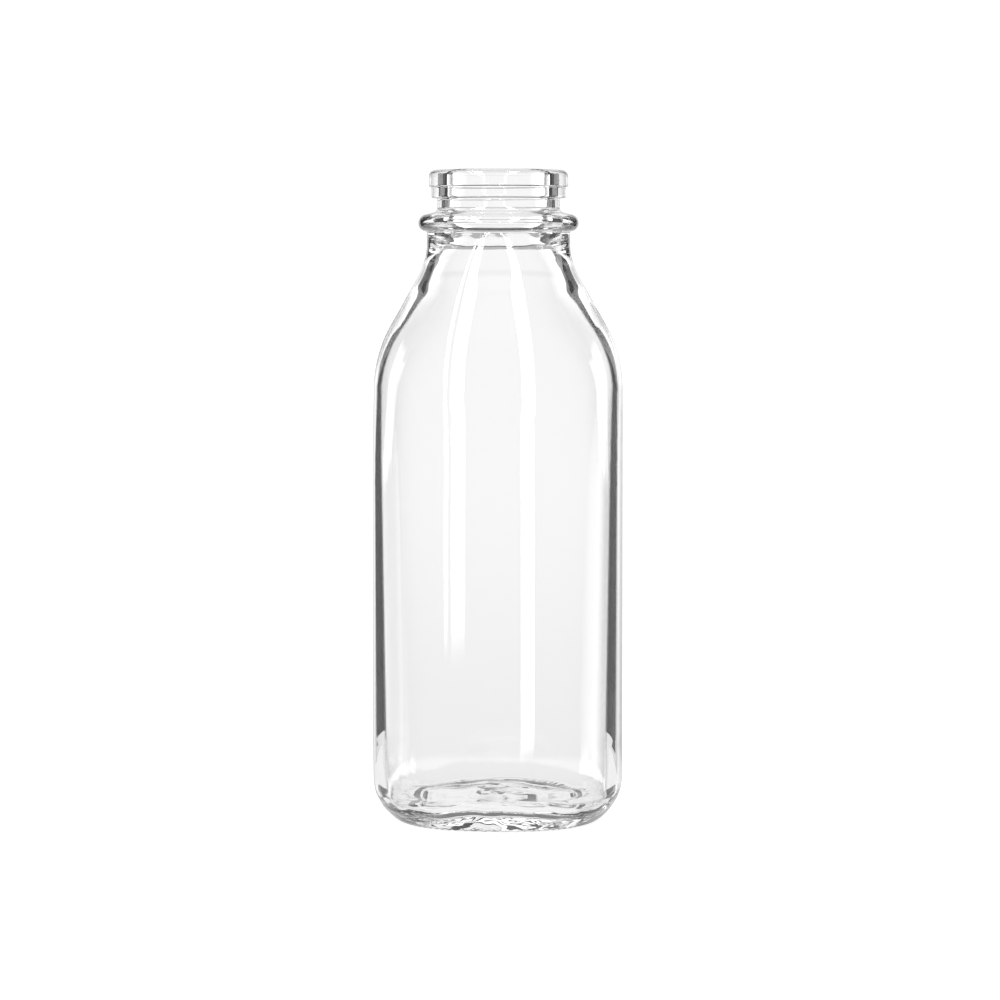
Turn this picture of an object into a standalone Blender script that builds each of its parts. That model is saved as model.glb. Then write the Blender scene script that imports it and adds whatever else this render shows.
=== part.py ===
"""Open-mouthed glass milk bottle: one moulded piece of clear glass.

The bottle stands on its foot at z = 0 with the mouth up, and its axis is the
world Z axis.  Two half-profiles, one for the outside and one for the inside,
are drawn as polylines whose corners are rounded by arcs.  Each profile point
becomes a closed ring: round in the finish, neck and upper shoulder, and a
softly rounded square in the body.  The rings are bridged into one closed skin.
"""

import math

import bmesh
import bpy
from mathutils import Vector

MM = 0.001

# ---- driving dimensions, in millimetres ---------------------------------
HEIGHT = 219.3             # foot to sealing lip
BODY_HALF = 42.5           # half width across the body's flats
WALL_DRAFT = 0.25          # how much narrower each side is at the top of the wall
BODY_TOP_HALF = BODY_HALF - WALL_DRAFT
BODY_SQUARENESS = 0.38     # share of the half width that is flat face
FOOT_SQUARENESS = 0.2      # the same share at the foot, which is rounder
SQUARE_FROM = 28.0         # the body has its full squareness above this height
SQUARE_BELOW = 115.0       # and starts to turn round here
ROUND_ABOVE = 168.0        # and is fully round here
FLAT_SOFTNESS = 0.35       # how gently a flat face turns into a corner

FOOT_RING_INNER = 31.0     # inner edge of the ring the bottle stands on
FOOT_HALF = 34.9           # outer edge of that ring, before it is rounded
FOOT_RADIUS = 2.4          # rounding of the ring's outer edge
PUSH_UP = 3.0              # height of the hollow under the middle of the foot
PUSH_UP_SHOULDER = 27.5    # half width where the hollow starts to fall away
PUSH_UP_EDGE = 2.4         # height of the hollow there
PUSH_UP_RADIUS = 8.0       # rounding of the hollow there
HEEL_TOP_Z = 6.2           # where the heel's cone would meet the wall
HEEL_RADIUS = 16.0         # rounding between the two

SHOULDER_SLOPE = 30.0      # degrees that the shoulder leans in from the wall
SHOULDER_CORNER_Z = 157.5  # where the wall's line meets the shoulder's line
SHOULDER_RADIUS = 43.0     # rounding between the two
COLLAR_HALF = 24.1         # waist under the bead
COLLAR_RADIUS = 25.6       # sweep from collar to shoulder

BEAD_HALF = 27.06          # transfer bead, half its diameter
BEAD_BOTTOM_Z = 198.75     # underside of the bead
BEAD_TOP_Z = 203.9         # upper outer corner of the bead
BEAD_LOWER_ROUND = 2.7     # rounding of the bead's lower outer edge
BEAD_UPPER_ROUND = 3.0     # rounding of its upper outer edge
BEAD_FILLET = 0.7          # fillet between collar and bead

NECK_HALF = 20.75          # waist between bead and cap finish
NECK_BOTTOM_Z = 205.45     # where the bead's top slope meets the neck
NECK_BOTTOM_FILLET = 1.5   # fillet between the two
UNDERCUT_Z = 209.9         # underside of the cap finish
UNDERCUT_FILLET = 0.6      # rounding at both ends of that underside

FINISH_LOWER_HALF = 22.7   # lower band of the cap finish
FINISH_UPPER_HALF = 23.5   # upper band of the cap finish
FINISH_STEP_Z = 213.55     # bottom of the step between the two bands
FINISH_STEP_RISE = 0.35    # height of that step
FINISH_FILLET = 0.25       # rounding at both ends of that step
LIP_OUTER_ROUND = 2.0      # rounding of the lip's outer edge
LIP_INNER_ROUND = 1.3      # rounding of the mouth's edge
LIP_LAND = 0.1             # how far the lip's flat starts outside that rounding

BORE_HALF = 17.1           # mouth, half its bore
BORE_BOTTOM_Z = 200.0      # where the bore starts to widen
BORE_SWEEP = 34.0          # rounding between bore and inner shoulder
INNER_WAIST_HALF = 24.2    # half width of the inside where the shoulder steepens
INNER_WAIST_Z = 179.5      # height of that place
INNER_WAIST_RADIUS = 20.0  # rounding there
INNER_SHOULDER_Z = 156.4   # where the inside wall's line meets the shoulder's line
INNER_SHOULDER_RADIUS = 38.0   # rounding between the two
WALL_TOP = 2.5             # wall thickness at the shoulder
WALL_BOTTOM = 4.1          # wall thickness at the heel
INNER_HEEL_RADIUS = 5.5    # rounding between inside wall and floor
FLOOR_EDGE_Z = 5.6         # inside floor at its edge
FLOOR_CENTRE_Z = 6.8       # inside floor at the middle
FLOOR_CROWN = 12.0         # half width of the level middle of the floor
FLOOR_CROWN_RADIUS = 20.0  # rounding at the edge of that middle

RING_POINTS = 48           # points around each ring
ARC_STEP = 19.0            # degrees of turn for each step of a rounded corner
LEAST_ARC_STEPS = 2        # steps that every rounded corner has
WALL_STEP = 20.0           # longest straight run between two rings

GLASS_COLOUR = (0.93, 0.95, 0.945, 1.0)
GLASS_ROUGHNESS = 0.02
GLASS_IOR = 1.52


def clear_scene():
    """Remove every object that the new file starts with."""
    for old in list(bpy.data.objects):
        bpy.data.objects.remove(old, do_unlink=True)


def smooth(share):
    """Ease from 0 to 1 with no slope at either end."""
    share = min(1.0, max(0.0, share))
    return share * share * (3.0 - 2.0 * share)


def rounded_corner(before, corner, after, radius):
    """Points on the arc of the given radius that rounds one corner."""
    corner = Vector(corner)
    back = (Vector(before) - corner).normalized()
    ahead = (Vector(after) - corner).normalized()
    half_opening = back.angle(ahead) / 2.0
    turn = math.pi - 2.0 * half_opening
    reach = radius / math.tan(half_opening)
    middle = (back + ahead).normalized()
    centre = corner + middle * (radius / math.sin(half_opening))
    steps = max(LEAST_ARC_STEPS, math.ceil(math.degrees(turn) / ARC_STEP))
    first = corner + back * reach - centre
    last = corner + ahead * reach - centre
    points = []
    for step in range(steps + 1):
        share = step / steps
        spread = math.sin(turn)
        start_weight = math.sin((1.0 - share) * turn) / spread
        end_weight = math.sin(share * turn) / spread
        points.append(centre + first * start_weight + last * end_weight)
    return points


def rounded_path(corners):
    """A polyline of (half width, height, radius) corners with each one rounded."""
    path = [Vector(corners[0][:2])]
    for index in range(1, len(corners) - 1):
        half_width, height, radius = corners[index]
        if radius > 0.0:
            before = corners[index - 1][:2]
            after = corners[index + 1][:2]
            path.extend(rounded_corner(before, (half_width, height), after, radius))
        else:
            path.append(Vector((half_width, height)))
    path.append(Vector(corners[-1][:2]))
    return path


def split_long_runs(path):
    """Add evenly spaced points where two neighbours are far apart."""
    points = [path[0]]
    for start, end in zip(path, path[1:]):
        pieces = max(1, math.ceil((end - start).length / WALL_STEP))
        for piece in range(1, pieces + 1):
            points.append(start.lerp(end, piece / pieces))
    return points


def outer_corners():
    """Outside half-profile from the middle of the foot up to the lip."""
    lean = math.tan(math.radians(SHOULDER_SLOPE))
    collar_corner_z = SHOULDER_CORNER_Z + (BODY_TOP_HALF - COLLAR_HALF) / lean
    return [
        (0.0, PUSH_UP, 0.0),
        (PUSH_UP_SHOULDER, PUSH_UP_EDGE, PUSH_UP_RADIUS),
        (FOOT_RING_INNER, 0.0, 0.0),
        (FOOT_HALF, 0.0, FOOT_RADIUS),
        (BODY_HALF, HEEL_TOP_Z, HEEL_RADIUS),
        (BODY_TOP_HALF, SHOULDER_CORNER_Z, SHOULDER_RADIUS),
        (COLLAR_HALF, collar_corner_z, COLLAR_RADIUS),
        (COLLAR_HALF, BEAD_BOTTOM_Z, BEAD_FILLET),
        (BEAD_HALF, BEAD_BOTTOM_Z, BEAD_LOWER_ROUND),
        (BEAD_HALF, BEAD_TOP_Z, BEAD_UPPER_ROUND),
        (NECK_HALF, NECK_BOTTOM_Z, NECK_BOTTOM_FILLET),
        (NECK_HALF, UNDERCUT_Z, UNDERCUT_FILLET),
        (FINISH_LOWER_HALF, UNDERCUT_Z, UNDERCUT_FILLET),
        (FINISH_LOWER_HALF, FINISH_STEP_Z, FINISH_FILLET),
        (FINISH_UPPER_HALF, FINISH_STEP_Z + FINISH_STEP_RISE, FINISH_FILLET),
        (FINISH_UPPER_HALF, HEIGHT, LIP_OUTER_ROUND),
        (BORE_HALF + LIP_INNER_ROUND + LIP_LAND, HEIGHT, 0.0),
    ]


def inner_corners():
    """Inside half-profile from the lip down to the middle of the floor."""
    return [
        (BORE_HALF + LIP_INNER_ROUND + LIP_LAND, HEIGHT, 0.0),
        (BORE_HALF, HEIGHT, LIP_INNER_ROUND),
        (BORE_HALF, BORE_BOTTOM_Z, BORE_SWEEP),
        (INNER_WAIST_HALF, INNER_WAIST_Z, INNER_WAIST_RADIUS),
        (BODY_TOP_HALF - WALL_TOP, INNER_SHOULDER_Z, INNER_SHOULDER_RADIUS),
        (BODY_HALF - WALL_BOTTOM, FLOOR_EDGE_Z, INNER_HEEL_RADIUS),
        (FLOOR_CROWN, FLOOR_CENTRE_Z, FLOOR_CROWN_RADIUS),
        (0.0, FLOOR_CENTRE_Z, 0.0),
    ]


def soft_sign(value):
    """The sign of a value, eased through zero, and exactly 1 at 1."""
    scale = math.sqrt(1.0 + FLAT_SOFTNESS * FLAT_SOFTNESS)
    return value * scale / math.sqrt(value * value + FLAT_SOFTNESS * FLAT_SOFTNESS)


def squareness(height):
    """Share of the half width that is flat: none in the neck, little in the foot."""
    fade_up = smooth((ROUND_ABOVE - height) / (ROUND_ABOVE - SQUARE_BELOW))
    fade_down = smooth(height / SQUARE_FROM)
    return fade_up * (FOOT_SQUARENESS + (BODY_SQUARENESS - FOOT_SQUARENESS) * fade_down)


def ring_points(half_width, height):
    """One closed ring, squared in the body and round towards the mouth."""
    flat = squareness(height) * half_width
    corner = half_width - flat
    points = []
    for index in range(RING_POINTS):
        angle = 2.0 * math.pi * index / RING_POINTS
        x = corner * math.cos(angle) + flat * soft_sign(math.cos(angle))
        y = corner * math.sin(angle) + flat * soft_sign(math.sin(angle))
        points.append(Vector((x, y, height)) * MM)
    return points


def add_ring(mesh, half_width, height):
    """Add one ring of vertices."""
    return [mesh.verts.new(point) for point in ring_points(half_width, height)]


def bridge(mesh, lower, upper):
    """Join two neighbouring rings with a band of faces."""
    for index in range(RING_POINTS):
        following = (index + 1) % RING_POINTS
        mesh.faces.new((lower[index], lower[following], upper[following], upper[index]))


def close_centre(mesh, height, ring, upward):
    """Close a ring with a fan of triangles around a point on the axis."""
    centre = mesh.verts.new(Vector((0.0, 0.0, height)) * MM)
    for index in range(RING_POINTS):
        following = (index + 1) % RING_POINTS
        if upward:
            mesh.faces.new((ring[index], ring[following], centre))
        else:
            mesh.faces.new((ring[following], ring[index], centre))


def bottle_profile():
    """Half-profile points from under the foot, over the lip, to the floor."""
    outside = split_long_runs(rounded_path(outer_corners()))
    inside = split_long_runs(rounded_path(inner_corners()))
    return outside + inside[1:]


def glass_material():
    """Clear flint glass."""
    material = bpy.data.materials.new("clear_glass")
    material.use_nodes = True
    shader = material.node_tree.nodes["Principled BSDF"]
    shader.inputs["Base Color"].default_value = GLASS_COLOUR
    shader.inputs["Metallic"].default_value = 0.0
    shader.inputs["Roughness"].default_value = GLASS_ROUGHNESS
    shader.inputs["IOR"].default_value = GLASS_IOR
    shader.inputs["Transmission Weight"].default_value = 1.0
    return material


def build_bottle():
    """The whole bottle as one closed skin of glass."""
    profile = bottle_profile()
    mesh = bmesh.new()
    rings = [add_ring(mesh, point.x, point.y) for point in profile[1:-1]]
    close_centre(mesh, profile[0].y, rings[0], upward=False)
    for lower, upper in zip(rings, rings[1:]):
        bridge(mesh, lower, upper)
    close_centre(mesh, profile[-1].y, rings[-1], upward=True)

    data = bpy.data.meshes.new("glass_bottle")
    mesh.to_mesh(data)
    mesh.free()
    data.shade_smooth()
    data.materials.append(glass_material())
    bottle = bpy.data.objects.new("glass_bottle", data)
    bpy.context.collection.objects.link(bottle)
    return bottle


clear_scene()
build_bottle()
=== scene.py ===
"""Looks of the glass milk bottle: a fine glass body, a bright studio and the camera.

The glass is one closed skin.  Two half-profiles, outside and inside, are drawn
as polylines whose corners are rounded by arcs, and each profile point becomes
a closed ring: round in the finish, neck and upper shoulder, and a softly
rounded square in the body.  Small unevenness is added ring by ring.
"""

import math

import bmesh
import bpy
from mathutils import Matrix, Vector, noise


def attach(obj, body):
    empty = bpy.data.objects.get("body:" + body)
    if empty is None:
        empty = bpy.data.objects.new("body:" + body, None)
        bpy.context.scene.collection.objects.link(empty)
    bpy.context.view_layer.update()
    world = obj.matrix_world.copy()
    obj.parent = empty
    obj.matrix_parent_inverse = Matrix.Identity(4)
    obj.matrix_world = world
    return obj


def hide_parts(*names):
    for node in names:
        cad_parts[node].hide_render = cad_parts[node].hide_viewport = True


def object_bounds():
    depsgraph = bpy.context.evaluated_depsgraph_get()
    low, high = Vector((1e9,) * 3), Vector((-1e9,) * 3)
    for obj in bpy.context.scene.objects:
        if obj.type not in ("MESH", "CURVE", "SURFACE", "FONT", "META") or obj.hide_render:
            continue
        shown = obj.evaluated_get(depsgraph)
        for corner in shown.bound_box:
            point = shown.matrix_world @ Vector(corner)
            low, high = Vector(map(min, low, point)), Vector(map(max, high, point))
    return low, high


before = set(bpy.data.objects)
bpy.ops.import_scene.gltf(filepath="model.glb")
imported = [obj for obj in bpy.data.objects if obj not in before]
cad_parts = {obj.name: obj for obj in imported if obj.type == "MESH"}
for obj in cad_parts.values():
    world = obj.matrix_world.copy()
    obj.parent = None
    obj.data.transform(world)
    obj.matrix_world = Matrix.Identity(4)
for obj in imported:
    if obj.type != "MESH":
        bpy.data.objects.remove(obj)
cad_low, cad_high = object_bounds()

MM = 0.001

# ---- driving dimensions, in millimetres, tied to the frame's box ------------
HEIGHT = (cad_high.z - cad_low.z) / MM             # foot to sealing lip
BODY_HALF = (cad_high.x - cad_low.x) / 2.0 / MM    # half width across the body's flats
WALL_DRAFT = 0.25          # how much narrower each side is at the top of the wall
BODY_TOP_HALF = BODY_HALF - WALL_DRAFT
BODY_SQUARENESS = 0.38     # share of the half width that is flat face
FOOT_SQUARENESS = 0.2      # the same share at the foot, which is rounder
SQUARE_FROM = 28.0         # the body has its full squareness above this height
SQUARE_BELOW = 115.0       # and starts to turn round here
ROUND_ABOVE = 168.0        # and is fully round here
FLAT_SOFTNESS = 0.35       # how gently a flat face turns into a corner

FOOT_RING_INNER = 31.0     # inner edge of the ring the bottle stands on
FOOT_HALF = 34.9           # outer edge of that ring, before it is rounded
FOOT_RADIUS = 2.4          # rounding of the ring's outer edge
PUSH_UP = 3.0              # height of the hollow under the middle of the foot
PUSH_UP_SHOULDER = 27.5    # half width where the hollow starts to fall away
PUSH_UP_EDGE = 2.4         # height of the hollow there
PUSH_UP_RADIUS = 8.0       # rounding of the hollow there
HEEL_TOP_Z = 6.2           # where the heel's cone would meet the wall
HEEL_RADIUS = 16.0         # rounding between the two

SHOULDER_SLOPE = 30.0      # degrees that the shoulder leans in from the wall
SHOULDER_CORNER_Z = 157.5  # where the wall's line meets the shoulder's line
SHOULDER_RADIUS = 43.0     # rounding between the two
COLLAR_HALF = 24.1         # waist under the bead
COLLAR_RADIUS = 25.6       # sweep from collar to shoulder

BEAD_HALF = 27.06          # transfer bead, half its diameter
BEAD_BOTTOM_Z = 198.75     # underside of the bead
BEAD_TOP_Z = 203.9         # upper outer corner of the bead
BEAD_LOWER_ROUND = 2.7     # rounding of the bead's lower outer edge
BEAD_UPPER_ROUND = 3.0     # rounding of its upper outer edge
BEAD_FILLET = 0.7          # fillet between collar and bead

NECK_HALF = 20.75          # waist between bead and cap finish
NECK_BOTTOM_Z = 205.45     # where the bead's top slope meets the neck
NECK_BOTTOM_FILLET = 1.5   # fillet between the two
UNDERCUT_Z = 209.9         # underside of the cap finish
UNDERCUT_FILLET = 0.6      # rounding at both ends of that underside

FINISH_LOWER_HALF = 22.7   # lower band of the cap finish
FINISH_UPPER_HALF = 23.5   # upper band of the cap finish
FINISH_STEP_Z = 213.55     # bottom of the step between the two bands
FINISH_STEP_RISE = 0.35    # height of that step
FINISH_FILLET = 0.25       # rounding at both ends of that step
LIP_OUTER_ROUND = 2.0      # rounding of the lip's outer edge
LIP_INNER_ROUND = 1.3      # rounding of the mouth's edge
LIP_LAND = 0.1             # how far the lip's flat starts outside that rounding

BORE_HALF = 17.1           # mouth, half its bore
BORE_BOTTOM_Z = 200.0      # where the bore starts to widen
BORE_SWEEP = 34.0          # rounding between bore and inner shoulder
INNER_WAIST_HALF = 24.2    # half width of the inside where the shoulder steepens
INNER_WAIST_Z = 179.5      # height of that place
INNER_WAIST_RADIUS = 20.0  # rounding there
INNER_SHOULDER_Z = 156.4   # where the inside wall's line meets the shoulder's line
INNER_SHOULDER_RADIUS = 38.0   # rounding between the two
WALL_TOP = 2.5             # wall thickness at the shoulder
WALL_BOTTOM = 4.1          # wall thickness at the heel
INNER_HEEL_RADIUS = 5.5    # rounding between inside wall and floor
FLOOR_EDGE_Z = 5.6         # inside floor at its edge
FLOOR_CENTRE_Z = 6.8       # inside floor at the middle
FLOOR_CROWN = 12.0         # half width of the level middle of the floor
FLOOR_CROWN_RADIUS = 20.0  # rounding at the edge of that middle

# ---- fineness of the skin, in millimetres and degrees -----------------------
RING_POINTS = 340          # points around each ring
ARC_STEP = 14.0            # degrees of turn for each step of a rounded corner
LEAST_ARC_STEPS = 3        # steps that every rounded corner has
WALL_STEP = 8.0            # longest step along the plain wall
SHOULDER_STEP = 3.0        # longest step above SHOULDER_FROM_Z
SHOULDER_FROM_Z = 108.0
FINE_STEP = 1.1            # longest step in the foot and heel
FINE_BELOW_Z = 18.0        # top of the foot and heel
GUARD = 0.3                # in the finish, straight runs get a point this far from each end
GUARDED_RUN = 3.0 * GUARD  # and only when they are longer than this
GUARD_ABOVE_Z = 196.0      # where the finish starts

# ---- small unevenness of the moulded glass, in millimetres ------------------
CAVITY_SHIFT = -0.2        # how far the inside sits off the bottle's axis
CAVITY_SHIFT_RUN = 30.0    # distance below the lip over which it gets there
STIPPLES = 85              # bumps around the ring that the bottle stands on
STIPPLE_DEPTH = 0.28       # depth of the gaps between them
STIPPLE_INNER = 31.0       # inner and outer edge of the stippled ring
STIPPLE_OUTER = 36.5
STIPPLE_EDGE = 2.0         # how quickly the bumps reach full depth across the ring
STIPPLE_BELOW_Z = 2.0      # the bumps are all below this height
FOOT_WAVE = 0.22           # waviness of the outside of the heel
FOOT_WAVE_SIZE = 9.0       # its length around the bottle
FOOT_WAVE_RISE = 1.8       # its length up the bottle
FOOT_WAVE_FADE = 1.0       # height over which it builds up above the foot
SEAM_Z = 195.6             # parting line between body mould and neck ring
SEAM_HALF_HEIGHT = 0.5
SEAM_DEPTH = 0.14          # how far it stands out
HEEL_LIFT = 0.6            # how much the floor's edge rises and falls
HEEL_LIFTS = 4.0           # how many times it does so around the bottle
FLOOR_WAVE = 0.75          # slow waves in the floor
FLOOR_WAVE_SIZE = 11.0
FLOOR_RIPPLE = 0.22        # short ripples in the floor
FLOOR_RIPPLE_SIZE = 4.0
RIPPLE_CENTRE = 0.4        # share of the ripples that is left at the floor's middle
COLLAR_MARK_Z = 197.0      # small marks inside the collar
COLLAR_MARK_REACH = 3.0    # they fade out this far above and below
COLLAR_MARK_DEPTH = 0.22
COLLAR_MARK_SIZE = 5.0     # their length around the bottle
COLLAR_MARK_RISE = 1.6     # their length up the bottle

# ---- camera, in metres, degrees and millimetres of lens ---------------------
CAMERA_DISTANCE = 1.0186   # from the bottle's axis, level with the floor
CAMERA_HEIGHT = 0.190      # above the foot
CAMERA_AZIMUTH = 3.5       # how far it stands to the right of the front
CAMERA_LENS = 108.1
SENSOR_WIDTH = 36.0
AIM_HEIGHT = 0.1077        # height on the bottle that it looks at
AIM_SHIFT = 0.0005         # how far to the right of the axis it looks


def camera_right():
    """The level direction to the camera's right."""
    azimuth = math.radians(CAMERA_AZIMUTH)
    return Vector((math.cos(azimuth), math.sin(azimuth), 0.0))


def camera_stand():
    """Where the camera is, in metres, and how it is turned."""
    azimuth = math.radians(CAMERA_AZIMUTH)
    out = Vector((math.sin(azimuth), -math.cos(azimuth), 0.0))
    location = out * CAMERA_DISTANCE + Vector((0.0, 0.0, CAMERA_HEIGHT))
    aim = camera_right() * AIM_SHIFT + Vector((0.0, 0.0, AIM_HEIGHT))
    return location, (aim - location).to_track_quat("-Z", "Y")


def smooth(share):
    """Ease from 0 to 1 with no slope at either end."""
    share = min(1.0, max(0.0, share))
    return share * share * (3.0 - 2.0 * share)


def longest_run(height):
    """Longest step along the profile: short in the foot and shoulder, long in the plain wall."""
    if height < FINE_BELOW_Z:
        return FINE_STEP
    if height > SHOULDER_FROM_Z:
        return SHOULDER_STEP
    return WALL_STEP


def rounded_corner(before, corner, after, radius):
    """Points on the arc of the given radius that rounds one corner."""
    corner = Vector(corner)
    back = (Vector(before) - corner).normalized()
    ahead = (Vector(after) - corner).normalized()
    half_opening = back.angle(ahead) / 2.0
    turn = math.pi - 2.0 * half_opening
    reach = radius / math.tan(half_opening)
    middle = (back + ahead).normalized()
    centre = corner + middle * (radius / math.sin(half_opening))
    run = longest_run(corner.y)
    by_turn = math.ceil(math.degrees(turn) / ARC_STEP)
    by_length = math.ceil(radius * turn / run)
    steps = max(LEAST_ARC_STEPS, by_turn, by_length)
    first = corner + back * reach - centre
    last = corner + ahead * reach - centre
    spread = math.sin(turn)
    points = []
    for step in range(steps + 1):
        share = step / steps
        start_weight = math.sin((1.0 - share) * turn) / spread
        end_weight = math.sin(share * turn) / spread
        points.append(centre + first * start_weight + last * end_weight)
    return points


def rounded_path(corners):
    """A polyline of (half width, height, radius) corners with each one rounded."""
    path = [Vector(corners[0][:2])]
    for index in range(1, len(corners) - 1):
        half_width, height, radius = corners[index]
        if radius > 0.0:
            before = corners[index - 1][:2]
            after = corners[index + 1][:2]
            path.extend(rounded_corner(before, (half_width, height), after, radius))
        else:
            path.append(Vector((half_width, height)))
    path.append(Vector(corners[-1][:2]))
    return path


def split_long_runs(path):
    """Add points where two neighbours are far apart.

    Straight runs in the finish get one point near each end instead, so that
    their smooth shading stays flat between the small fillets.
    """
    points = [path[0]]
    for start, end in zip(path, path[1:]):
        run = longest_run((start.y + end.y) / 2.0)
        length = (end - start).length
        if min(start.y, end.y) > GUARD_ABOVE_Z and length > GUARDED_RUN:
            points.append(start.lerp(end, GUARD / length))
            points.append(start.lerp(end, 1.0 - GUARD / length))
            points.append(end)
            continue
        pieces = max(1, math.ceil(length / run))
        for piece in range(1, pieces + 1):
            points.append(start.lerp(end, piece / pieces))
    return points


def outer_corners():
    """Outside half-profile from the middle of the foot up to the lip."""
    lean = math.tan(math.radians(SHOULDER_SLOPE))
    collar_corner_z = SHOULDER_CORNER_Z + (BODY_TOP_HALF - COLLAR_HALF) / lean
    return [
        (0.0, PUSH_UP, 0.0),
        (PUSH_UP_SHOULDER, PUSH_UP_EDGE, PUSH_UP_RADIUS),
        (FOOT_RING_INNER, 0.0, 0.0),
        (FOOT_HALF, 0.0, FOOT_RADIUS),
        (BODY_HALF, HEEL_TOP_Z, HEEL_RADIUS),
        (BODY_TOP_HALF, SHOULDER_CORNER_Z, SHOULDER_RADIUS),
        (COLLAR_HALF, collar_corner_z, COLLAR_RADIUS),
        (COLLAR_HALF, BEAD_BOTTOM_Z, BEAD_FILLET),
        (BEAD_HALF, BEAD_BOTTOM_Z, BEAD_LOWER_ROUND),
        (BEAD_HALF, BEAD_TOP_Z, BEAD_UPPER_ROUND),
        (NECK_HALF, NECK_BOTTOM_Z, NECK_BOTTOM_FILLET),
        (NECK_HALF, UNDERCUT_Z, UNDERCUT_FILLET),
        (FINISH_LOWER_HALF, UNDERCUT_Z, UNDERCUT_FILLET),
        (FINISH_LOWER_HALF, FINISH_STEP_Z, FINISH_FILLET),
        (FINISH_UPPER_HALF, FINISH_STEP_Z + FINISH_STEP_RISE, FINISH_FILLET),
        (FINISH_UPPER_HALF, HEIGHT, LIP_OUTER_ROUND),
        (BORE_HALF + LIP_INNER_ROUND + LIP_LAND, HEIGHT, 0.0),
    ]


def inner_corners():
    """Inside half-profile from the lip down to the middle of the floor."""
    return [
        (BORE_HALF + LIP_INNER_ROUND + LIP_LAND, HEIGHT, 0.0),
        (BORE_HALF, HEIGHT, LIP_INNER_ROUND),
        (BORE_HALF, BORE_BOTTOM_Z, BORE_SWEEP),
        (INNER_WAIST_HALF, INNER_WAIST_Z, INNER_WAIST_RADIUS),
        (BODY_TOP_HALF - WALL_TOP, INNER_SHOULDER_Z, INNER_SHOULDER_RADIUS),
        (BODY_HALF - WALL_BOTTOM, FLOOR_EDGE_Z, INNER_HEEL_RADIUS),
        (FLOOR_CROWN, FLOOR_CENTRE_Z, FLOOR_CROWN_RADIUS),
        (0.0, FLOOR_CENTRE_Z, 0.0),
    ]


def soft_sign(value):
    """The sign of a value, eased through zero, and exactly 1 at 1."""
    scale = math.sqrt(1.0 + FLAT_SOFTNESS * FLAT_SOFTNESS)
    return value * scale / math.sqrt(value * value + FLAT_SOFTNESS * FLAT_SOFTNESS)


def squareness(height):
    """Share of the half width that is flat: none in the neck, little in the foot."""
    fade_up = smooth((ROUND_ABOVE - height) / (ROUND_ABOVE - SQUARE_BELOW))
    fade_down = smooth(height / SQUARE_FROM)
    return fade_up * (FOOT_SQUARENESS + (BODY_SQUARENESS - FOOT_SQUARENESS) * fade_down)


def section_place(half_width, height, angle):
    """Place on one level of the skin, squared in the body and round towards the mouth."""
    flat = squareness(height) * half_width
    corner = half_width - flat
    x = corner * math.cos(angle) + flat * soft_sign(math.cos(angle))
    y = corner * math.sin(angle) + flat * soft_sign(math.sin(angle))
    return x, y


def ring_points(half_width, height, shift, detail):
    """One closed ring of the fine skin."""
    points = []
    for index in range(RING_POINTS):
        angle = 2.0 * math.pi * index / RING_POINTS
        x, y = section_place(half_width, height, angle)
        point = detail(Vector((x + shift, y, height)), half_width, height, angle)
        points.append(point * MM)
    return points


def hump(value, middle, reach):
    """1 at the middle, easing to 0 at the reach on either side."""
    return smooth(1.0 - abs(value - middle) / reach)


def stretched_noise(point, size, rise):
    """Noise whose features have one length around the bottle and another up it."""
    return noise.noise(Vector((point.x / size, point.y / size, point.z / rise)))


def outside_detail(point, half_width, height, angle):
    """Stippled foot, slight waviness in the heel and the neck ring's parting line."""
    outward = Vector((point.x, point.y, 0.0)).normalized()
    moved = point.copy()
    ring_middle = (STIPPLE_INNER + STIPPLE_OUTER) / 2.0
    ring_reach = (STIPPLE_OUTER - STIPPLE_INNER) / 2.0
    ring = hump(half_width, ring_middle, ring_reach)
    if height < STIPPLE_BELOW_Z and ring > 0.0:
        gap = 0.5 - 0.5 * math.cos(STIPPLES * angle)
        moved.z += STIPPLE_DEPTH * gap * min(1.0, STIPPLE_EDGE * ring)
    if height < FINE_BELOW_Z and half_width > STIPPLE_INNER:
        sway = stretched_noise(point, FOOT_WAVE_SIZE, FOOT_WAVE_RISE)
        sway *= smooth(1.0 - height / FINE_BELOW_Z) * smooth(height / FOOT_WAVE_FADE)
        moved += outward * (FOOT_WAVE * sway)
    if abs(height - SEAM_Z) < SEAM_HALF_HEIGHT:
        moved += outward * (SEAM_DEPTH * hump(height, SEAM_Z, SEAM_HALF_HEIGHT))
    return moved


def inside_detail(point, half_width, height, angle):
    """Slow waves in the floor and heel and small marks inside the collar."""
    moved = point.copy()
    low = smooth((FINE_BELOW_Z - height) / (FINE_BELOW_Z - FLOOR_CENTRE_Z))
    if low > 0.0:
        where = Vector((point.x, point.y, 0.0))
        wave = noise.noise(where / FLOOR_WAVE_SIZE) * FLOOR_WAVE
        ripple = noise.noise(where / FLOOR_RIPPLE_SIZE) * FLOOR_RIPPLE
        heel = smooth((half_width - FLOOR_CROWN) / FLOOR_CROWN)
        ripple *= RIPPLE_CENTRE + (1.0 - RIPPLE_CENTRE) * heel
        lift = HEEL_LIFT * heel * math.cos(HEEL_LIFTS * angle)
        moved.z += low * (wave + ripple + lift)
    mark = hump(height, COLLAR_MARK_Z, COLLAR_MARK_REACH)
    if mark > 0.0:
        outward = Vector((point.x, point.y, 0.0)).normalized()
        dent = stretched_noise(point, COLLAR_MARK_SIZE, COLLAR_MARK_RISE)
        moved += outward * (COLLAR_MARK_DEPTH * mark * dent)
    return moved


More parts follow.
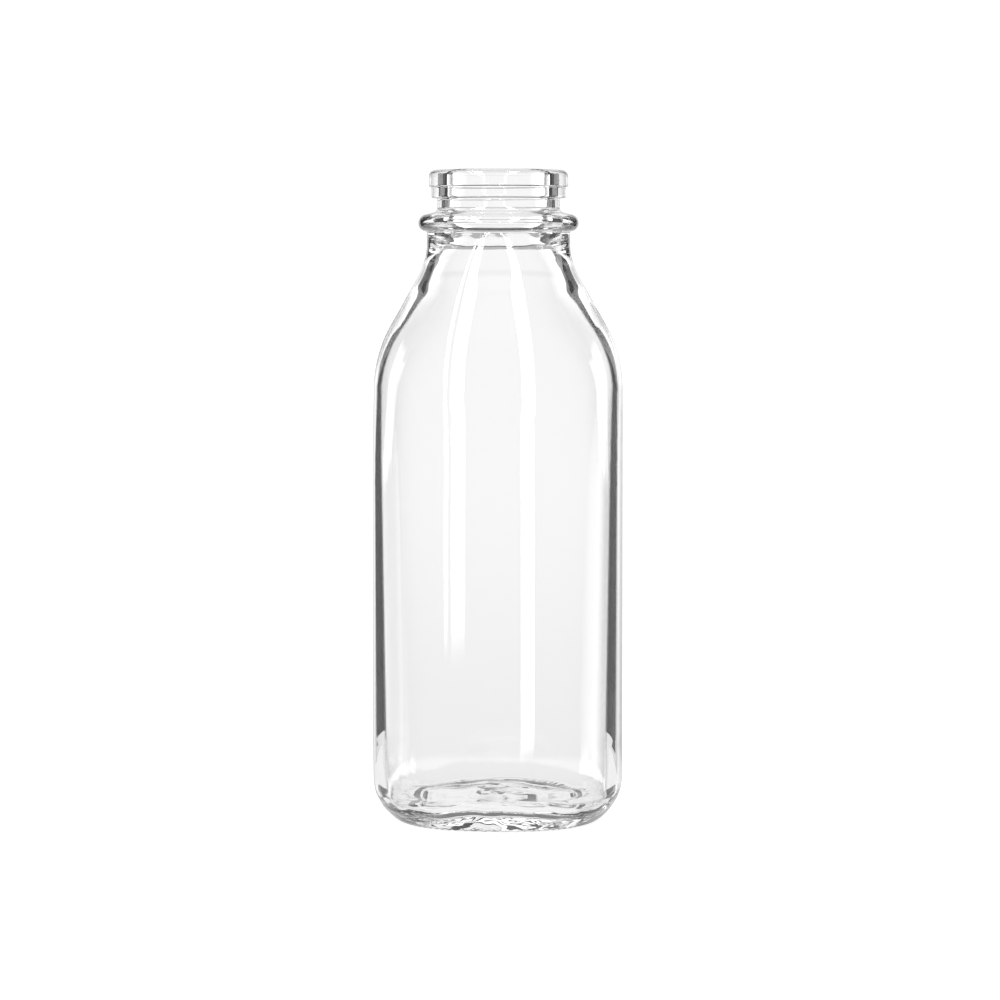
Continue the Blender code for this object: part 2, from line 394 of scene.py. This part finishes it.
def build_glass():
    """The glass body as one closed fine skin."""
    outside = split_long_runs(rounded_path(outer_corners()))
    inside = split_long_runs(rounded_path(inner_corners()))
    profile = outside + inside[1:]
    mesh = bmesh.new()
    rings = []
    for number, point in enumerate(profile[1:-1]):
        shift = 0.0
        detail = outside_detail
        if number >= len(outside):
            shift = CAVITY_SHIFT * smooth((HEIGHT - point.y) / CAVITY_SHIFT_RUN)
            detail = inside_detail
        rings.append([mesh.verts.new(p) for p in ring_points(point.x, point.y, shift, detail)])
    under = mesh.verts.new(Vector((0.0, 0.0, profile[0].y)) * MM)
    floor = mesh.verts.new(Vector((0.0, 0.0, profile[-1].y)) * MM)
    for index in range(RING_POINTS):
        following = (index + 1) % RING_POINTS
        mesh.faces.new((rings[0][following], rings[0][index], under))
        mesh.faces.new((rings[-1][index], rings[-1][following], floor))
        for lower, upper in zip(rings, rings[1:]):
            mesh.faces.new((lower[index], lower[following], upper[following], upper[index]))
    data = bpy.data.meshes.new("bottle_glass")
    mesh.to_mesh(data)
    mesh.free()
    data.shade_smooth()
    bottle = bpy.data.objects.new("bottle_glass", data)
    bpy.context.collection.objects.link(bottle)
    return bottle


# ---- node helpers -----------------------------------------------------------

def add_math(tree, operation, first, second=None, third=None):
    """One math node; each operand is a number or the output of another node."""
    node = tree.nodes.new("ShaderNodeMath")
    node.operation = operation
    for slot, value in enumerate((first, second, third)):
        if value is None:
            continue
        if isinstance(value, (int, float)):
            node.inputs[slot].default_value = value
        else:
            tree.links.new(value, node.inputs[slot])
    return node.outputs[0]


def add_step(tree, value, low, high, start, end, ease="SMOOTHSTEP"):
    """A change from start to end as the value goes from low to high."""
    node = tree.nodes.new("ShaderNodeMapRange")
    node.interpolation_type = ease
    tree.links.new(value, node.inputs["Value"])
    node.inputs["From Min"].default_value = low
    node.inputs["From Max"].default_value = high
    node.inputs["To Min"].default_value = start
    node.inputs["To Max"].default_value = end
    return node.outputs[0]


def add_rise(tree, value, edge, soft):
    """0 below the edge, 1 above it, with a soft change between."""
    return add_step(tree, value, edge - soft, edge + soft, 0.0, 1.0)


def add_fall(tree, value, edge, soft):
    """1 below the edge, 0 above it, with a soft change between."""
    return add_step(tree, value, edge - soft, edge + soft, 1.0, 0.0)


def add_window(tree, value, low, high, soft):
    """1 between low and high, 0 outside, with soft edges."""
    rise = add_rise(tree, value, low, soft)
    fall = add_fall(tree, value, high, soft)
    return add_math(tree, "MULTIPLY", rise, fall)


# ---- studio, in degrees as the camera sees it -------------------------------
# The backdrop and the side strips are measured from straight behind the bottle,
# the key strips from straight in front of it; positive is to the camera's right.
# Heights are degrees above the camera's axis.
BACKDROP_HALF = 26.5       # half width of the lit backdrop
BACKDROP_WAIST_HALF = 22.5  # its half width where it is narrowest
WAIST_FROM = 5.0           # it narrows between these heights
WAIST_TO = 14.0
BACKDROP_UPPER_HALF = 26.0  # its half width further up
UPPER_FROM = 20.0          # it widens again between these heights
UPPER_TO = 26.0
BACKDROP_SOFT = 1.0        # softness of its side edges
BACKDROP_HIGH = 32.0       # where it starts to fade out
BACKDROP_FADE = 6.0        # and over how much height
BACKDROP_LEVEL = 0.97      # its brightness level with the camera and above
BACKDROP_LOW_LEVEL = 0.865  # its brightness at and below BACKDROP_DIM_HEIGHT
BACKDROP_DIM_HEIGHT = -6.5
FOREGROUND_LOW = -8.4      # the lit table widens it between these heights
FOREGROUND_HIGH = -6.8
FOREGROUND_WIDER = 30.0    # by this much

FLANK_FROM = 9.5           # for light that goes straight through it gets brighter from here
FLANK_TO = 22.0            # to here
FLANK_GAIN = 1.75          # up to this gain
FLANK_LOW = -8.4           # the gain builds up between these heights
FLANK_HIGH = -5.0
FOLDED_GAIN = 0.95         # gain for light that was reflected inside the glass
FOLDED_HIGH_GAIN = 1.6     # the same high up, for light that stayed in one wall
FOLDED_FROM = 5.0          # it rises between these heights
FOLDED_TO = 14.0
OUTLINE_GAIN = 0.92        # gain for reflections off the outside

SIDE_INNER = 61.0          # two strips beside the bottle
SIDE_OUTER = 75.0
SIDE_SOFT = 0.8            # softness of their side edges
SIDE_LOW = -0.5
SIDE_HIGH = 26.0
SIDE_END_SOFT = 2.0        # and of their ends
SIDE_LEVEL = 2.5

KEY_LEVEL = 14.0           # three strips in front, seen only by reflection off the outside
KEY_DIM_LEVEL = 2.0        # they are dimmer in one short stretch
KEY_DIM_LOW = -3.75
KEY_DIM_HIGH = -2.4
KEY_DIM_SOFT = 0.2
KEY_SOFT = 0.25            # softness of their side edges
KEY_HIGH = 62.0            # their upper end
KEY_HIGH_SOFT = 3.0        # and its softness
KEY_CURVE_LOW = -10.0      # heights at the two ends of the edge curves
KEY_CURVE_HIGH = 55.0
KEY_CURVE_SPAN = 100.0     # widest angle that the edge curves can hold
KEY_LEAST_RISE = 0.3       # least height between two points of an edge curve
# In millimetres: each strip's reflection runs straight down the bottle's front
# between these two distances to the camera's right of the axis ...
KEY_PLACES = {"thin": (-17.85, -16.7), "left": (-15.5, -11.15), "right": (7.45, 11.75)}
# ... and in the shoulder, between these heights, it moves this far to the right.
KEY_DRAW_IN = {"thin": 5.0, "left": 5.0, "right": -4.0}
KEY_DRAW_FROM_Z = 150.0
KEY_DRAW_TO_Z = 190.0
KEY_HALVINGS = 30          # steps in the search for a place on the front
KEY_TURN = 0.01            # radians around the bottle over which its slant is taken
# Middle of each strip's lower end and how softly it ends.
KEY_ENDS = {"thin": (-10.95, 1.0), "left": (-10.95, 1.2), "right": (-13.65, 1.4)}

DARK_LEVEL = 0.06          # the dark room behind the bottle
ROOM_LEVEL = 0.45          # the lighter room on the camera's side
ROOM_SOFT = 0.3            # how gently one turns into the other
DEEP_FILL = 0.42           # least light after a reflection beyond the cavity
NEVER = 0.5                # a count of bounces below this is nought
ONE_WALL = 2.5             # fewer passes through glass faces mean one wall at most
WORLD_LEVEL = 1.05         # plain light for the background and for lighting the floor


def front_angle(point, across):
    """Angle around the bottle of the front place that is this far to the camera's right."""
    right = camera_right()
    low, high = -math.pi, 0.0
    for _ in range(KEY_HALVINGS):
        angle = (low + high) / 2.0
        x, y = section_place(point.x, point.y, angle)
        if x * right.x + y * right.y < across:
            low = angle
        else:
            high = angle
    return angle


def mirrored(below, here, above, across):
    """Height and facing angle of what the front mirrors to the camera at one level."""
    def place(point, angle):
        x, y = section_place(point.x, point.y, angle)
        return Vector((x, y, point.y)) * MM

    angle = front_angle(here, across)
    spot = place(here, angle)
    around = place(here, angle + KEY_TURN) - place(here, angle - KEY_TURN)
    upward = (place(above, angle) - spot).normalized() + (spot - place(below, angle)).normalized()
    outward = around.cross(upward).normalized()
    location, rotation = camera_stand()
    ray = (spot - location).normalized()
    bounce = rotation.inverted() @ (ray - 2.0 * ray.dot(outward) * outward)
    height = math.degrees(math.asin(bounce.y))
    return height, math.degrees(math.atan2(bounce.x, bounce.z))


def edge_curve(across, draw_in):
    """Heights and facing angles of a light's edge whose reflection stays in its place.

    The heights rise from the wall up to the steepest part of the shoulder.
    """
    profile = split_long_runs(rounded_path(outer_corners()))
    curve = []
    lowest = KEY_CURVE_LOW
    for below, here, above in zip(profile, profile[1:], profile[2:]):
        if here.y < FINE_BELOW_Z or here.y > KEY_DRAW_TO_Z:
            continue
        share = (here.y - KEY_DRAW_FROM_Z) / (KEY_DRAW_TO_Z - KEY_DRAW_FROM_Z)
        height, facing = mirrored(below, here, above, across + draw_in * smooth(share))
        if height > lowest:
            curve.append((height, facing))
            lowest = height + KEY_LEAST_RISE
    return curve


def add_edge(tree, height, across, draw_in):
    """How far round one edge of a key strip stands at each height."""
    share = add_step(tree, height, KEY_CURVE_LOW, KEY_CURVE_HIGH, 0.0, 1.0, "LINEAR")
    node = tree.nodes.new("ShaderNodeFloatCurve")
    points = node.mapping.curves[0].points
    stations = edge_curve(across, draw_in)
    while len(points) < len(stations):
        points.new(0.5, 0.5)
    for point, (level, facing) in zip(points, stations):
        along = (level - KEY_CURVE_LOW) / (KEY_CURVE_HIGH - KEY_CURVE_LOW)
        point.location = (along, 0.5 + facing / KEY_CURVE_SPAN / 2.0)
        point.handle_type = "VECTOR"
    node.mapping.update()
    tree.links.new(share, node.inputs["Value"])
    return add_math(tree, "MULTIPLY_ADD", node.outputs[0], 2.0 * KEY_CURVE_SPAN, -KEY_CURVE_SPAN)


def backdrop_light(tree, behind, height, outside, one_wall, straight):
    """The lit backdrop: its outline times its level times the gain for the light's path."""
    aside = add_math(tree, "ABSOLUTE", behind)
    waist = BACKDROP_HALF - BACKDROP_WAIST_HALF
    upper = BACKDROP_UPPER_HALF - BACKDROP_WAIST_HALF
    across = add_math(tree, "ADD", aside, add_step(tree, height, WAIST_FROM, WAIST_TO, 0.0, waist))
    widening = add_step(tree, height, UPPER_FROM, UPPER_TO, 0.0, upper)
    across = add_math(tree, "SUBTRACT", across, widening)
    foreground = add_step(tree, height, FOREGROUND_LOW, FOREGROUND_HIGH, FOREGROUND_WIDER, 0.0)
    across = add_math(tree, "SUBTRACT", across, foreground)
    outline = add_fall(tree, across, BACKDROP_HALF, BACKDROP_SOFT)
    top = add_step(tree, height, BACKDROP_HIGH, BACKDROP_HIGH + BACKDROP_FADE, 1.0, 0.0)
    outline = add_math(tree, "MULTIPLY", outline, top)

    level = add_step(tree, height, BACKDROP_DIM_HEIGHT, 0.0, BACKDROP_LOW_LEVEL, BACKDROP_LEVEL)
    flank_gain = add_step(tree, height, FLANK_LOW, FLANK_HIGH, 1.0, FLANK_GAIN)
    outward = add_step(tree, aside, FLANK_FROM, FLANK_TO, 0.0, 1.0, "LINEAR")
    flank = add_math(tree, "MULTIPLY_ADD", add_math(tree, "SUBTRACT", flank_gain, 1.0), outward, 1.0)
    rise = FOLDED_HIGH_GAIN - FOLDED_GAIN
    folded = add_step(tree, height, FOLDED_FROM, FOLDED_TO, 0.0, rise, "LINEAR")
    folded = add_math(tree, "MULTIPLY_ADD", folded, one_wall, FOLDED_GAIN)
    gain = add_math(tree, "MULTIPLY_ADD", add_math(tree, "SUBTRACT", flank, folded), straight, folded)
    to_outline = add_math(tree, "SUBTRACT", OUTLINE_GAIN, gain)
    gain = add_math(tree, "MULTIPLY_ADD", to_outline, outside, gain)
    return add_math(tree, "MULTIPLY", outline, add_math(tree, "MULTIPLY", level, gain))


def side_light(tree, behind, height):
    """Two bright strips, one on each side of the bottle."""
    aside = add_math(tree, "ABSOLUTE", behind)
    side = add_window(tree, aside, SIDE_INNER, SIDE_OUTER, SIDE_SOFT)
    ends = add_window(tree, height, SIDE_LOW, SIDE_HIGH, SIDE_END_SOFT)
    return add_math(tree, "MULTIPLY", add_math(tree, "MULTIPLY", side, ends), SIDE_LEVEL)


def key_light(tree, facing, height, outside):
    """The three long strips in front, which only the outside of the glass mirrors."""
    fall = add_fall(tree, height, KEY_HIGH, KEY_HIGH_SOFT)
    keys = None
    for name, (low_end, low_soft) in KEY_ENDS.items():
        left, right = (add_edge(tree, height, across, KEY_DRAW_IN[name]) for across in KEY_PLACES[name])
        past_left = add_math(tree, "SUBTRACT", facing, left)
        before_right = add_math(tree, "SUBTRACT", right, facing)
        strip = add_rise(tree, past_left, 0.0, KEY_SOFT)
        strip = add_math(tree, "MULTIPLY", strip, add_rise(tree, before_right, 0.0, KEY_SOFT))
        rise = add_rise(tree, height, low_end, low_soft)
        strip = add_math(tree, "MULTIPLY", strip, add_math(tree, "MULTIPLY", rise, fall))
        keys = strip if keys is None else add_math(tree, "ADD", keys, strip)
    keys = add_math(tree, "MULTIPLY", keys, outside)
    dim = add_window(tree, height, KEY_DIM_LOW, KEY_DIM_HIGH, KEY_DIM_SOFT)
    level = add_math(tree, "MULTIPLY_ADD", dim, KEY_DIM_LEVEL - KEY_LEVEL, KEY_LEVEL)
    return add_math(tree, "MULTIPLY", keys, level)


def studio_light(tree, direction):
    """Brightness of the studio in a direction, worked out in the camera's own axes."""
    turn = tree.nodes.new("ShaderNodeVectorTransform")
    turn.vector_type = "VECTOR"
    turn.convert_from = "WORLD"
    turn.convert_to = "CAMERA"
    tree.links.new(direction, turn.inputs[0])
    parts = tree.nodes.new("ShaderNodeSeparateXYZ")
    tree.links.new(turn.outputs[0], parts.inputs[0])
    right, up, ahead = parts.outputs
    degrees = math.degrees(1.0)
    toward = add_math(tree, "MULTIPLY", ahead, -1.0)
    behind = add_math(tree, "MULTIPLY", add_math(tree, "ARCTAN2", right, ahead), degrees)
    facing = add_math(tree, "MULTIPLY", add_math(tree, "ARCTAN2", right, toward), degrees)
    height = add_math(tree, "MULTIPLY", add_math(tree, "ARCSINE", up), degrees)

    path = tree.nodes.new("ShaderNodeLightPath")
    passes = path.outputs["Transmission Depth"]
    outside = add_math(tree, "LESS_THAN", passes, NEVER)
    one_wall = add_math(tree, "LESS_THAN", passes, ONE_WALL)
    straight = add_math(tree, "LESS_THAN", path.outputs["Glossy Depth"], NEVER)

    room = add_step(tree, ahead, -ROOM_SOFT, ROOM_SOFT, ROOM_LEVEL, DARK_LEVEL)
    backdrop = backdrop_light(tree, behind, height, outside, one_wall, straight)
    total = add_math(tree, "ADD", room, backdrop)
    total = add_math(tree, "ADD", total, side_light(tree, behind, height))
    total = add_math(tree, "ADD", total, key_light(tree, facing, height, outside))
    past_cavity = add_math(tree, "SUBTRACT", 1.0, one_wall)
    deep = add_math(tree, "MULTIPLY", past_cavity, add_math(tree, "SUBTRACT", 1.0, straight))
    return add_math(tree, "MAXIMUM", total, add_math(tree, "MULTIPLY", deep, DEEP_FILL))


def plain_rays(tree):
    """1 for what the camera sees directly and for light on the floor, 0 in the glass."""
    path = tree.nodes.new("ShaderNodeLightPath")
    return add_math(tree, "MAXIMUM", path.outputs["Is Camera Ray"], path.outputs["Is Diffuse Ray"])


def make_world():
    """Plain white for the camera, the studio for everything seen in the glass."""
    world = bpy.data.worlds.new("studio")
    bpy.context.scene.world = world
    world.use_nodes = True
    tree = world.node_tree
    tree.nodes.clear()
    out = tree.nodes.new("ShaderNodeOutputWorld")
    background = tree.nodes.new("ShaderNodeBackground")
    background.inputs["Color"].default_value = (1.0, 1.0, 1.0, 1.0)
    tree.links.new(background.outputs[0], out.inputs[0])
    where = tree.nodes.new("ShaderNodeTexCoord")
    studio = studio_light(tree, where.outputs["Generated"])
    mix = tree.nodes.new("ShaderNodeMix")
    mix.data_type = "FLOAT"
    tree.links.new(plain_rays(tree), mix.inputs[0])
    tree.links.new(studio, mix.inputs[2])
    mix.inputs[3].default_value = WORLD_LEVEL
    tree.links.new(mix.outputs[0], background.inputs["Strength"])


# ---- floor, in metres -------------------------------------------------------
FLOOR_HALF = 12.0
FLOOR_GAP = 0.0002         # how far the floor is below the foot
FLOOR_GLOW = 0.8           # the floor's own light, which keeps it pale
FLOOR_GREY = 0.4           # its matt colour, which takes the shadow
LIT_PATCH_RADIUS = 0.075       # painted pool of light: the pale patch of lit floor that the glass shows around the foot
LIT_PATCH_SOFT = 0.01
LIT_PATCH_LEVEL = 0.86
CONTACT_SHADOW_INNER = 0.0285     # painted contact shadow: the dark ring where the foot touches the floor
CONTACT_SHADOW_OUTER = 0.0365
CONTACT_SHADOW_SOFT = 0.001
CONTACT_SHADE = 0.8


def floor_in_glass(tree):
    """How bright the floor looks through the glass: studio or a painted pool of light, less a painted
    shadow ring under the foot.
    """
    geometry = tree.nodes.new("ShaderNodeNewGeometry")
    away = tree.nodes.new("ShaderNodeVectorMath")
    away.operation = "SCALE"
    away.inputs["Scale"].default_value = -1.0
    tree.links.new(geometry.outputs["Incoming"], away.inputs[0])
    studio = studio_light(tree, away.outputs[0])
    reach = tree.nodes.new("ShaderNodeVectorMath")
    reach.operation = "LENGTH"
    tree.links.new(geometry.outputs["Position"], reach.inputs[0])
    distance = reach.outputs["Value"]
    # painted pool of light on the floor around the foot, seen only through the glass
    table = add_math(tree, "MULTIPLY", add_fall(tree, distance, LIT_PATCH_RADIUS, LIT_PATCH_SOFT), LIT_PATCH_LEVEL)
    path = tree.nodes.new("ShaderNodeLightPath")
    one_wall = add_math(tree, "LESS_THAN", path.outputs["Transmission Depth"], ONE_WALL)
    # painted shadow: a dark ring where the foot touches the floor, seen only through one wall
    contact_shadow = add_window(tree, distance, CONTACT_SHADOW_INNER, CONTACT_SHADOW_OUTER, CONTACT_SHADOW_SOFT)
    contact_shadow = add_math(tree, "MULTIPLY", contact_shadow, one_wall)
    kept = add_math(tree, "MULTIPLY_ADD", contact_shadow, -CONTACT_SHADE, 1.0)
    return add_math(tree, "MULTIPLY", add_math(tree, "MAXIMUM", studio, table), kept)


def make_floor():
    """A wide pale floor under the bottle."""
    data = bpy.data.meshes.new("floor")
    half = FLOOR_HALF
    corners = [(-half, -half, 0.0), (half, -half, 0.0), (half, half, 0.0), (-half, half, 0.0)]
    data.from_pydata(corners, [], [(0, 1, 2, 3)])
    floor = bpy.data.objects.new("floor", data)
    floor.location.z = cad_low.z - FLOOR_GAP
    bpy.context.collection.objects.link(floor)
    material = bpy.data.materials.new("pale_floor")
    material.use_nodes = True
    tree = material.node_tree
    tree.nodes.clear()
    out = tree.nodes.new("ShaderNodeOutputMaterial")
    # emission seen from the glass: studio light, the painted lit patch and the painted shadow ring
    painted_floor_light = tree.nodes.new("ShaderNodeEmission")
    tree.links.new(floor_in_glass(tree), painted_floor_light.inputs["Strength"])
    pale = tree.nodes.new("ShaderNodeEmission")
    pale.inputs["Strength"].default_value = FLOOR_GLOW
    matt = tree.nodes.new("ShaderNodeBsdfDiffuse")
    matt.inputs[0].default_value = (FLOOR_GREY, FLOOR_GREY, FLOOR_GREY, 1.0)
    both = tree.nodes.new("ShaderNodeAddShader")
    tree.links.new(pale.outputs[0], both.inputs[0])
    tree.links.new(matt.outputs[0], both.inputs[1])
    mix = tree.nodes.new("ShaderNodeMixShader")
    tree.links.new(plain_rays(tree), mix.inputs[0])
    tree.links.new(painted_floor_light.outputs[0], mix.inputs[1])
    tree.links.new(both.outputs[0], mix.inputs[2])
    tree.links.new(mix.outputs[0], out.inputs[0])
    data.materials.append(material)


def make_camera():
    """The camera level with the bottle's collar, a little to one side of its front."""
    data = bpy.data.cameras.new("camera")
    data.lens = CAMERA_LENS
    data.sensor_width = SENSOR_WIDTH
    camera = bpy.data.objects.new("camera", data)
    camera.rotation_mode = "QUATERNION"
    camera.location, camera.rotation_quaternion = camera_stand()
    bpy.context.collection.objects.link(camera)
    bpy.context.scene.camera = camera


# ---- glass ------------------------------------------------------------------
GLASS_IOR = 1.52
GLASS_CLEAR = 0.997        # share of light that a glass face lets through
PAINTED_RIM_SHADE = 0.35           # painted shade: the glass colour darkens to this at the very rim
RIM_FULL = 0.09            # cosine of the view angle where the painted rim shade is darkest
RIM_NONE = 0.19            # cosine of the view angle where the painted rim shade has faded out
RIM_MIRROR = 0.15          # specular level at the rim
FACE_MIRROR = 0.5          # and everywhere else
GLASS_POLISH = 0.0         # roughness of the polished patches
GLASS_HAZE = 0.012         # roughness of the hazy ones
HAZE_FROM = 0.45           # noise values between which polish turns to haze
HAZE_TO = 0.75
HAZE_SIZE = 0.018          # size of the patches, in metres
HAZE_DETAIL = 3.0
ORANGE_PEEL = 0.04         # faint waviness of the moulded skin
ORANGE_PEEL_SIZE = 0.012   # in metres
ORANGE_PEEL_HEIGHT = 0.00001
ORANGE_PEEL_DETAIL = 1.0


def add_noise(tree, size, detail):
    """Noise in the bottle's own space whose features are about the given size."""
    where = tree.nodes.new("ShaderNodeTexCoord")
    node = tree.nodes.new("ShaderNodeTexNoise")
    node.inputs["Scale"].default_value = 1.0 / size
    node.inputs["Detail"].default_value = detail
    tree.links.new(where.outputs["Object"], node.inputs["Vector"])
    return node.outputs[0]


def glass_material():
    """Clear flint glass with a painted dark outline at its rim, patchy polish and the faint waviness of
    a moulded skin.
    """
    material = bpy.data.materials.new("flint_glass")
    material.use_nodes = True
    tree = material.node_tree
    shader = tree.nodes["Principled BSDF"]
    shader.inputs["IOR"].default_value = GLASS_IOR
    shader.inputs["Transmission Weight"].default_value = 1.0

    geometry = tree.nodes.new("ShaderNodeNewGeometry")
    slant = tree.nodes.new("ShaderNodeVectorMath")
    slant.operation = "DOT_PRODUCT"
    tree.links.new(geometry.outputs["Normal"], slant.inputs[0])
    tree.links.new(geometry.outputs["Incoming"], slant.inputs[1])
    cosine = add_math(tree, "ABSOLUTE", slant.outputs["Value"])
    # painted shade: the glass colour darkens towards the rim where the view grazes it, drawing a dark
    # outline
    clear = add_step(tree, cosine, RIM_FULL, RIM_NONE, PAINTED_RIM_SHADE, GLASS_CLEAR)
    colour = tree.nodes.new("ShaderNodeCombineColor")
    for channel in colour.inputs[:3]:
        tree.links.new(clear, channel)
    tree.links.new(colour.outputs[0], shader.inputs["Base Color"])
    mirror = add_step(tree, cosine, RIM_FULL, RIM_NONE, RIM_MIRROR, FACE_MIRROR)
    tree.links.new(mirror, shader.inputs["Specular IOR Level"])

    patches = add_noise(tree, HAZE_SIZE, HAZE_DETAIL)
    haze = add_step(tree, patches, HAZE_FROM, HAZE_TO, GLASS_POLISH, GLASS_HAZE)
    tree.links.new(haze, shader.inputs["Roughness"])
    bump = tree.nodes.new("ShaderNodeBump")
    bump.inputs["Strength"].default_value = ORANGE_PEEL
    bump.inputs["Distance"].default_value = ORANGE_PEEL_HEIGHT
    peel = add_noise(tree, ORANGE_PEEL_SIZE, ORANGE_PEEL_DETAIL)
    tree.links.new(peel, bump.inputs["Height"])
    tree.links.new(bump.outputs[0], shader.inputs["Normal"])
    return material


# ---- the scene --------------------------------------------------------------
MOST_BOUNCES = 24
MOST_MIRROR_BOUNCES = 12

bottle = build_glass()
bottle.data.materials.append(glass_material())
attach(bottle, "root")
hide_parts("glass_bottle")

make_world()
make_floor()
make_camera()
scene = bpy.context.scene
scene.view_settings.view_transform = "Standard"
scene.cycles.max_bounces = MOST_BOUNCES
scene.cycles.transmission_bounces = MOST_BOUNCES
scene.cycles.glossy_bounces = MOST_MIRROR_BOUNCES
